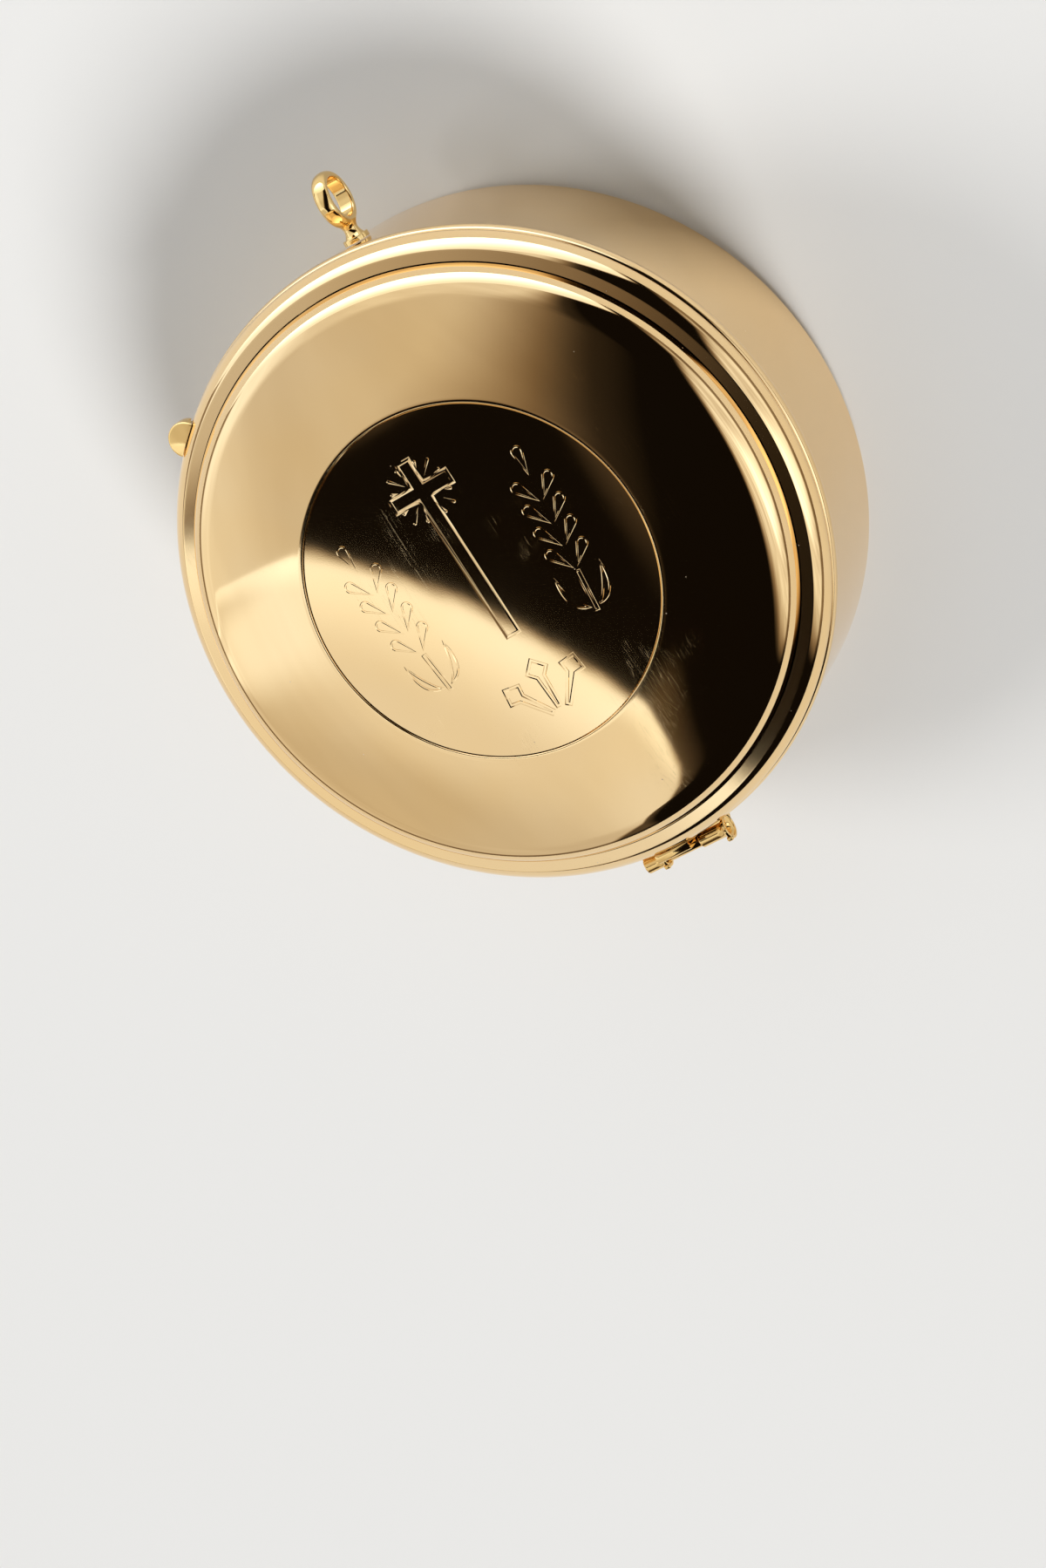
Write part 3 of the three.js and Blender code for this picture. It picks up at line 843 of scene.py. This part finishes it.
class Graph:
    """Adds nodes to one node tree with short calls."""

    def __init__(self, tree):
        self.tree = tree
        tree.nodes.clear()

    def node(self, kind, **values):
        node = self.tree.nodes.new(kind)
        for name, value in values.items():
            setattr(node, name, value)
        return node

    def put(self, socket, value):
        if isinstance(value, bpy.types.NodeSocket):
            self.tree.links.new(value, socket)
        else:
            socket.default_value = value

    def math(self, operation, a, b=0.0):
        node = self.node("ShaderNodeMath", operation=operation)
        self.put(node.inputs[0], a)
        self.put(node.inputs[1], b)
        return node.outputs[0]

    def add(self, a, b):
        return self.math("ADD", a, b)

    def minus(self, a, b):
        return self.math("SUBTRACT", a, b)

    def times(self, a, b):
        return self.math("MULTIPLY", a, b)

    def largest(self, a, *others):
        for other in others:
            a = self.math("MAXIMUM", a, other)
        return a

    def length(self, a, b):
        """Length of a vector with the parts a and b."""
        return self.math("SQRT", self.add(self.times(a, a), self.times(b, b)))

    def flip(self, value):
        return self.minus(1.0, value)

    def fade(self, value, low, high, start=0.0, end=1.0):
        """Goes smoothly from start to end as value goes from low to high."""
        node = self.node("ShaderNodeMapRange", interpolation_type="SMOOTHSTEP")
        for socket, part in zip(node.inputs, (value, low, high, start, end)):
            self.put(socket, part)
        return node.outputs[0]

    def noise(self, vector, scale, detail=2.0, roughness=0.5):
        node = self.node("ShaderNodeTexNoise")
        self.put(node.inputs["Vector"], vector)
        self.put(node.inputs["Scale"], scale)
        self.put(node.inputs["Detail"], detail)
        self.put(node.inputs["Roughness"], roughness)
        return node.outputs[0]

    def patches(self, vector, scale, low, high, detail=2.0, roughness=0.5):
        """Patches drawn by noise, 0 where it is below low and 1 where it is above high."""
        return self.fade(self.noise(vector, scale, detail, roughness), low, high)

    def mapped(self, vector, rotation=(0, 0, 0), scale=(1, 1, 1)):
        node = self.node("ShaderNodeMapping")
        self.put(node.inputs["Vector"], vector)
        self.put(node.inputs["Rotation"], [radians(r) for r in rotation])
        self.put(node.inputs["Scale"], scale)
        return node.outputs[0]

    def parts(self, vector):
        """The x, y and z of a vector."""
        node = self.node("ShaderNodeSeparateXYZ")
        self.put(node.inputs[0], vector)
        return node.outputs

    def colour(self, *levels):
        """A colour made of a red, a green and a blue level."""
        node = self.node("ShaderNodeCombineColor")
        for socket, level in zip(node.inputs, levels):
            self.put(socket, level)
        return node.outputs[0]

    def blend(self, factor, a, b):
        node = self.node("ShaderNodeMix", data_type="RGBA")
        self.put(node.inputs["Factor"], factor)
        self.put(node.inputs["A"], a)
        self.put(node.inputs["B"], b)
        return node.outputs["Result"]

    def bump(self, height, distance, normal=None):
        """Normals of a relief whose height runs from 0 to distance, in millimetres."""
        node = self.node("ShaderNodeBump")
        self.put(node.inputs["Height"], height)
        self.put(node.inputs["Distance"], distance * MM)
        if normal is not None:
            self.put(node.inputs["Normal"], normal)
        return node.outputs[0]


def new_material(name):
    """A material with one shader, and the graph that its nodes are added to."""
    material = bpy.data.materials.new(name)
    material.use_nodes = True
    graph = Graph(material.node_tree)
    output = graph.node("ShaderNodeOutputMaterial")
    shader = graph.node("ShaderNodeBsdfPrincipled")
    graph.put(output.inputs["Surface"], shader.outputs[0])
    return material, graph, shader


def hairlines(graph, place, angle, density):
    """Long thin scratches that run at angle across the piece, in patches."""
    across = graph.mapped(place, (*SCRATCH_TILT, angle), (density, density / SCRATCH_STRETCH, density))
    centred = graph.math("ABSOLUTE", graph.minus(graph.noise(across, 1.0, detail=1.0), 0.5))
    lines = graph.flip(graph.fade(centred, 0.0, SCRATCH_WIDTH))
    turned = graph.mapped(place, (0, 0, angle))
    return graph.times(lines, graph.patches(turned, scale=0.12, low=0.58, high=0.74))


def handling_smears(graph, place):
    broad = graph.patches(place, scale=0.16, low=0.5, high=0.72, detail=3.0)
    fine = graph.patches(place, scale=1.4, low=0.35, high=0.65, detail=4.0, roughness=0.7)
    return graph.times(broad, fine)


def dust_specks(graph, place):
    """Small round specks, few and far between."""
    cells = graph.node("ShaderNodeTexVoronoi")
    graph.put(cells.inputs["Vector"], place)
    graph.put(cells.inputs["Scale"], DUST_SCALE)
    specks = graph.flip(graph.fade(cells.outputs["Distance"], *DUST_SPECK))
    return graph.times(specks, graph.patches(place, DUST_SCALE, low=0.66, high=0.7, detail=0.0))


def rubbed_edge(graph, place, radius, reach):
    """Wear in patches along a round edge, none farther from it than reach."""
    x, y, _ = graph.parts(place)
    gap = graph.math("ABSOLUTE", graph.minus(graph.length(x, y), radius))
    patches = graph.patches(place, scale=0.5, low=0.35, high=0.6)
    return graph.times(graph.flip(graph.fade(gap, 0.0, reach)), patches)


def gold(name, colour, other, roughness, rub=None, wear=1.0):
    """Polished gold plate, its tone drifting between two colours, with the marks of use.

    rub is the radius of a rubbed edge and its reach. wear scales the scratches and smears.
    """
    material, graph, shader = new_material(name)
    place = graph.mapped(graph.node("ShaderNodeTexCoord").outputs["Object"], scale=(1 / MM,) * 3)
    scratches = graph.largest(*(hairlines(graph, place, *line_set) for line_set in SCRATCHES))
    dust = dust_specks(graph, place)

    drift = graph.patches(place, scale=0.05, low=0.3, high=0.7, detail=3.0)
    tone = graph.blend(drift, colour, other)
    rough = graph.add(roughness, graph.times(handling_smears(graph, place), SMEAR_ROUGHNESS * wear))
    rough = graph.add(rough, graph.times(scratches, SCRATCH_ROUGHNESS * wear))
    if rub is not None:
        rubbed = rubbed_edge(graph, place, *rub)
        rough = graph.add(rough, graph.times(rubbed, RUB_ROUGHNESS))
        tone = graph.blend(graph.times(rubbed, RUB_PALENESS), tone, PALE_GOLD)
    tone = graph.blend(graph.times(dust, DUST_COVER), tone, DUST)
    rough = graph.add(rough, graph.times(dust, DUST_ROUGHNESS))

    waves = graph.bump(graph.noise(place, WAVE_SCALE, detail=1.0), WAVE_DEPTH)
    fine = graph.bump(graph.noise(place, TEXTURE_SCALE), TEXTURE_DEPTH, waves)
    shader.inputs["Metallic"].default_value = 1.0
    graph.put(shader.inputs["Base Color"], tone)
    graph.put(shader.inputs["Roughness"], rough)
    graph.put(shader.inputs["Normal"], graph.bump(graph.flip(scratches), SCRATCH_DEPTH * wear, fine))
    return material


def floor_material():
    material, graph, shader = new_material("pale_floor")
    place = graph.node("ShaderNodeTexCoord").outputs["Object"]
    drift = graph.patches(place, scale=3.0, low=0.3, high=0.7)
    graph.put(shader.inputs["Base Color"], graph.blend(drift, FLOOR, PALER_FLOOR))
    graph.put(shader.inputs["Roughness"], 0.9)
    graph.put(shader.inputs["Specular IOR Level"], 0.2)
    return material


# Studio

CAMERA_AT = (-120.14, -38.58, 269.82)
CAMERA_AIM = (16.93, 20.73, 0.0)
PICTURE_UP = (-0.4092, -0.8252, -0.3893)
LENS = 80.04
SENSOR = 36
VIEW_RANGE = (0.01, 20)           # metres
FLOOR_HALF = 4000
FLOOR_GAP = 0.01

# Sky, mapped flat: x and y are degrees from the zenith towards +X and +Y, and level 1 is white.
# A BLUR holds the place where an edge begins and the place where it is complete. A LIGHT holds
# two places and the level at each. They were found from the photo's reflections.
BACKDROP = (0.80, 0.79, 0.775, 1)
SKY_TURN = 1.1                    # degrees the map is turned, seen from above
DARK_LEVEL = 0.0058               # of the ceiling and the flags
NEUTRAL_LEVEL = 0.8               # at this level the sky has no tint
GREEN_FALL = 0.2                  # how much faster green falls than red below that level
BLUE_FALL = 0.45
DIMMEST_TINT = 0.25               # below this share of that level the sky grows no warmer
HORIZON_LIGHT = (79, 84, 1.0, 0.25)     # by degrees from the zenith, as a share of the level
FLOOR_SHARE = 0.6                 # how much of the studio's light the floor takes
STREAK_AZIMUTH = 28
STREAK_STRETCH = (9, 1.5, 1)
STREAK_SCALE = 1.3
STREAK_RANGE = (0.3, 0.7)         # of the noise, from dark streaks to bright ones
STREAK_SHARE = (0.95, 1.03)       # of a panel's level, in dark streaks and in bright ones

EAST_CORNER = (17, -3)            # the near edge is a hyperbola round this spot
EAST_BEND = (12, 18, 102, 88)     # two places in y, and how round the hyperbola is at each
EAST_SIDE = (25, 33, 20.6, 24)    # two places in y, and x of the west side at each
EAST_SIDE_LEAN = 0.17             # how that side leans out farther north
EAST_SIDE_BLUR = (-0.4, 0.5)
EAST_NEAR_BLUR = (0, 0.3)
EAST_SOUTH_AZIMUTH = -31
EAST_SOUTH_BLUR = (-5, -1)
EAST_NEAR_LIGHT = (0.3, 1.9, 0.33, 0.0)
EAST_MAIN_LIGHT = (4.5, 11.5, 0.875, 0.655)
EAST_STRIP_BLURS = ((2, 4.5), (7, 10.5))
EAST_STRIP_LIGHT = (29, 33, 0.0, 0.24)
EAST_FAR_LIGHT = (50, 84, 0.0, 0.12)
EAST_GLOW_LIGHT = (-3, 0.5, 0.0, 0.09)
EAST_GLOW_BLUR = (14, 18)

SOUTH_EAST_AZIMUTH = -44
SOUTH_EAST_BLUR = (8, 19)
SOUTH_EAST_HAZE_LIGHT = (3, 10, 0.0, 0.05)
SOUTH_EAST_LIGHT = (29, 50, 0.655, 0.93)
SOUTH_EAST_LOW_LIGHT = (12, 32, 0.0, 0.15)
FLAG_WEST_BLUR = (22.0, 23.2)
FLAG_SOUTH_BLUR = (4.2, 5.8)

SOUTH_TOP_BLUR = (50, 53)
SOUTH_WEST_BLUR = (-67, -61)
SOUTH_LIGHT = (54, 84, 1.15, 2.3)

WEST_NORTH_AZIMUTH = 206.6
WEST_NORTH_BLUR = (-7, 14)
WEST_NEAR_AZIMUTH = 123
WEST_NEAR_BLUR = (14, 24)
WEST_FAR_AZIMUTH = 176
WEST_FAR_BLUR = (64, 76)
WEST_SOUTH_BLUR = (-62, -50)
WEST_LEVELS = (0.75, 1.1)         # in dark streaks and in bright ones
WEST_CORE = (-57, 25)
WEST_CORE_LIGHT = (6, 26, 0.7, 0.0)


def photo_camera():
    camera = bpy.data.cameras.new("photo_camera")
    camera.lens = LENS
    camera.sensor_width = SENSOR
    camera.clip_start, camera.clip_end = VIEW_RANGE
    obj = bpy.data.objects.new("photo_camera", camera)
    bpy.context.scene.collection.objects.link(obj)
    back = (Vector(CAMERA_AT) - Vector(CAMERA_AIM)).normalized()
    right = Vector(PICTURE_UP).cross(back).normalized()
    up = back.cross(right)
    turn = Matrix((right, up, back)).transposed().to_4x4()
    obj.matrix_world = Matrix.Translation(Vector(CAMERA_AT) * MM) @ turn
    bpy.context.scene.camera = obj


def pale_floor():
    half, z = FLOOR_HALF, -FLOOR_GAP
    corners = [(-half, -half, z), (half, -half, z), (half, half, z), (-half, half, z)]
    floor = mesh_object("floor", corners, [(0, 1, 2, 3)])
    floor.data.materials.append(floor_material())


def side_of(graph, x, y, azimuth):
    """How far a direction on the sky map lies towards azimuth, in degrees."""
    a = radians(azimuth)
    return graph.add(graph.times(x, cos(a)), graph.times(y, sin(a)))


def east_panel(graph, x, y):
    """A softbox to the east. Its near corner is rounded, and it is brightest along that edge."""
    across, along = graph.minus(x, EAST_CORNER[0]), graph.minus(y, EAST_CORNER[1])
    over = graph.minus(graph.times(across, along), graph.fade(y, *EAST_BEND))
    inside = graph.math("DIVIDE", over, graph.length(across, along))
    lean = graph.times(graph.minus(y, EAST_SIDE[1]), EAST_SIDE_LEAN)
    past_side = graph.minus(x, graph.add(graph.fade(y, *EAST_SIDE), graph.largest(lean, 0.0)))
    from_south = side_of(graph, x, y, EAST_SOUTH_AZIMUTH)

    shape = graph.times(graph.fade(inside, *EAST_NEAR_BLUR), graph.fade(past_side, *EAST_SIDE_BLUR))
    shape = graph.times(shape, graph.fade(from_south, *EAST_SOUTH_BLUR))
    begins, ends = (graph.fade(y, *blur) for blur in EAST_STRIP_BLURS)
    strip = graph.times(begins, graph.flip(ends))
    level = graph.add(graph.fade(inside, *EAST_NEAR_LIGHT), graph.fade(inside, *EAST_MAIN_LIGHT))
    level = graph.add(level, graph.times(strip, graph.fade(x, *EAST_STRIP_LIGHT)))
    level = graph.add(level, graph.fade(x, *EAST_FAR_LIGHT))
    glow = graph.times(graph.fade(past_side, *EAST_GLOW_LIGHT), graph.fade(y, *EAST_GLOW_BLUR))
    return graph.largest(graph.times(shape, level), glow)


def south_east_sky(graph, x, y):
    """Bright studio wall to the south-east, fading in from overhead, with a dark flag at one corner."""
    side = side_of(graph, x, y, SOUTH_EAST_AZIMUTH)
    down = graph.times(y, -1.0)
    shape = graph.add(graph.fade(side, *SOUTH_EAST_BLUR), graph.fade(side, *SOUTH_EAST_HAZE_LIGHT))
    flag = graph.times(graph.fade(x, *FLAG_WEST_BLUR), graph.fade(y, *FLAG_SOUTH_BLUR))
    level = graph.add(graph.fade(x, *SOUTH_EAST_LIGHT), graph.fade(down, *SOUTH_EAST_LOW_LIGHT))
    return graph.times(graph.times(shape, graph.flip(flag)), level)


def south_window(graph, x, y):
    """Low bright window to the south."""
    down = graph.times(y, -1.0)
    shape = graph.times(graph.fade(down, *SOUTH_TOP_BLUR), graph.fade(x, *SOUTH_WEST_BLUR))
    return graph.times(shape, graph.fade(down, *SOUTH_LIGHT))


def west_window(graph, x, y, streaks):
    """Streaked window to the west with a bright core."""
    north_edge = graph.fade(side_of(graph, x, y, WEST_NORTH_AZIMUTH), *WEST_NORTH_BLUR)
    near_edge = graph.fade(side_of(graph, x, y, WEST_NEAR_AZIMUTH), *WEST_NEAR_BLUR)
    far_edge = graph.fade(side_of(graph, x, y, WEST_FAR_AZIMUTH), *WEST_FAR_BLUR)
    shape = graph.times(graph.times(north_edge, graph.largest(near_edge, far_edge)),
                        graph.fade(y, *WEST_SOUTH_BLUR))
    from_core = graph.length(graph.minus(x, WEST_CORE[0]), graph.minus(y, WEST_CORE[1]))
    level = graph.fade(streaks, *STREAK_RANGE, *WEST_LEVELS)
    return graph.times(shape, graph.add(level, graph.fade(from_core, *WEST_CORE_LIGHT)))


def sky_colour(graph, level):
    """The colour of a sky level: its dim parts are warmer than its bright ones."""
    share = graph.largest(graph.times(level, 1 / NEUTRAL_LEVEL), DIMMEST_TINT)
    green, blue = (graph.math("POWER", share, fall) for fall in (GREEN_FALL, BLUE_FALL))
    return graph.colour(level, graph.times(level, green), graph.times(level, blue))


def studio_world():
    """A soft pale studio: bright panels and windows round a dark ceiling and dark flags."""
    world = bpy.data.worlds.new("studio")
    bpy.context.scene.world = world
    world.use_nodes = True
    graph = Graph(world.node_tree)
    direction = graph.mapped(graph.node("ShaderNodeTexCoord").outputs["Generated"], (0, 0, SKY_TURN))
    dx, dy, dz = graph.parts(direction)
    theta = graph.times(graph.math("ARCCOSINE", dz), degrees(1))
    not_zero = graph.largest(graph.length(dx, dy), 0.0001)
    stretch = graph.math("DIVIDE", theta, not_zero)
    x, y = graph.times(dx, stretch), graph.times(dy, stretch)
    streaked = graph.mapped(direction, (0, 0, STREAK_AZIMUTH), STREAK_STRETCH)
    streaks = graph.noise(streaked, STREAK_SCALE, detail=3.0)

    level = graph.largest(
        east_panel(graph, x, y), south_east_sky(graph, x, y), west_window(graph, x, y, streaks),
    )
    level = graph.times(level, graph.fade(streaks, *STREAK_RANGE, *STREAK_SHARE))
    level = graph.times(level, graph.fade(theta, *HORIZON_LIGHT))
    level = graph.largest(level, south_window(graph, x, y), DARK_LEVEL)

    path = graph.node("ShaderNodeLightPath")
    in_metal = graph.largest(path.outputs["Is Glossy Ray"], path.outputs["Is Transmission Ray"])
    floor_level = graph.times(graph.math("MINIMUM", level, 1.0), FLOOR_SHARE)
    light = graph.blend(in_metal, graph.colour(*[floor_level] * 3), sky_colour(graph, level))
    studio = graph.node("ShaderNodeBackground")
    graph.put(studio.inputs["Color"], graph.blend(path.outputs["Is Camera Ray"], light, BACKDROP))
    graph.put(studio.inputs["Strength"], 1.0)
    output = graph.node("ShaderNodeOutputWorld")
    graph.put(output.inputs["Surface"], studio.outputs[0])


def soft_lamp(name, azimuth, from_zenith, spread, strength):
    """A wide, far softbox, for shadow and shade; the sky map makes the reflections."""
    light = bpy.data.lights.new(name, "SUN")
    light.angle = radians(spread)
    light.energy = strength
    obj = bpy.data.objects.new(name, light)
    bpy.context.scene.collection.objects.link(obj)
    a, t = radians(azimuth), radians(from_zenith)
    obj.location = (sin(t) * cos(a), sin(t) * sin(a), cos(t))
    obj.rotation_euler = obj.location.to_track_quat("Z", "Y").to_euler()
    obj.visible_glossy = False


# Assembly

def finished(obj, body, node, material):
    """Gives a piece its material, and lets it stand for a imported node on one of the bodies."""
    obj.data.materials.clear()
    obj.data.materials.append(material)
    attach(obj, body)
    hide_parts(node)


shell = gold("shell_gold", GOLD, PALE_GOLD, roughness=0.035)
rims = gold("rim_gold", GOLD, PALE_GOLD, roughness=0.045, rub=(BEAD_R, 0.5))
disc = gold("medallion_gold", PALE_GOLD, GOLD, roughness=0.022, wear=0.5)
fitting = gold("fitting_gold", YELLOW_GOLD, DEEP_GOLD, roughness=0.07)

finished(base_cup(), "base", "base_cup", shell)
finished(mouth_ring(), "base", "base_rim_ring", rims)
finished(stepped_collar(), "base", "bezel_collar", shell)
finished(rolled_base_leaf(), "base", "hinge_base_leaf", fitting)
finished(hinge_rod(), "base", "hinge_pin", fitting)
finished(soldered_boss(), "base", "ring_boss", fitting)
finished(cord_loop(), "base", "cord_ring", fitting)
finished(domed_lid(), "lid", "lid_shell", shell)
finished(rounded_rim(), "lid", "lid_rim_ring", rims)
finished(engraved_medallion(), "lid", "medallion_disc", disc)
finished(rolled_lid_leaf(), "lid", "hinge_lid_leaf", fitting)
finished(half_round_tab(), "lid", "thumb_tab", fitting)

photo_camera()
pale_floor()
studio_world()
soft_lamp("key", azimuth=97, from_zenith=50, spread=24, strength=2.9)
soft_lamp("fill", azimuth=-20, from_zenith=62, spread=27, strength=1.8)
bpy.context.scene.view_settings.view_transform = "Standard"
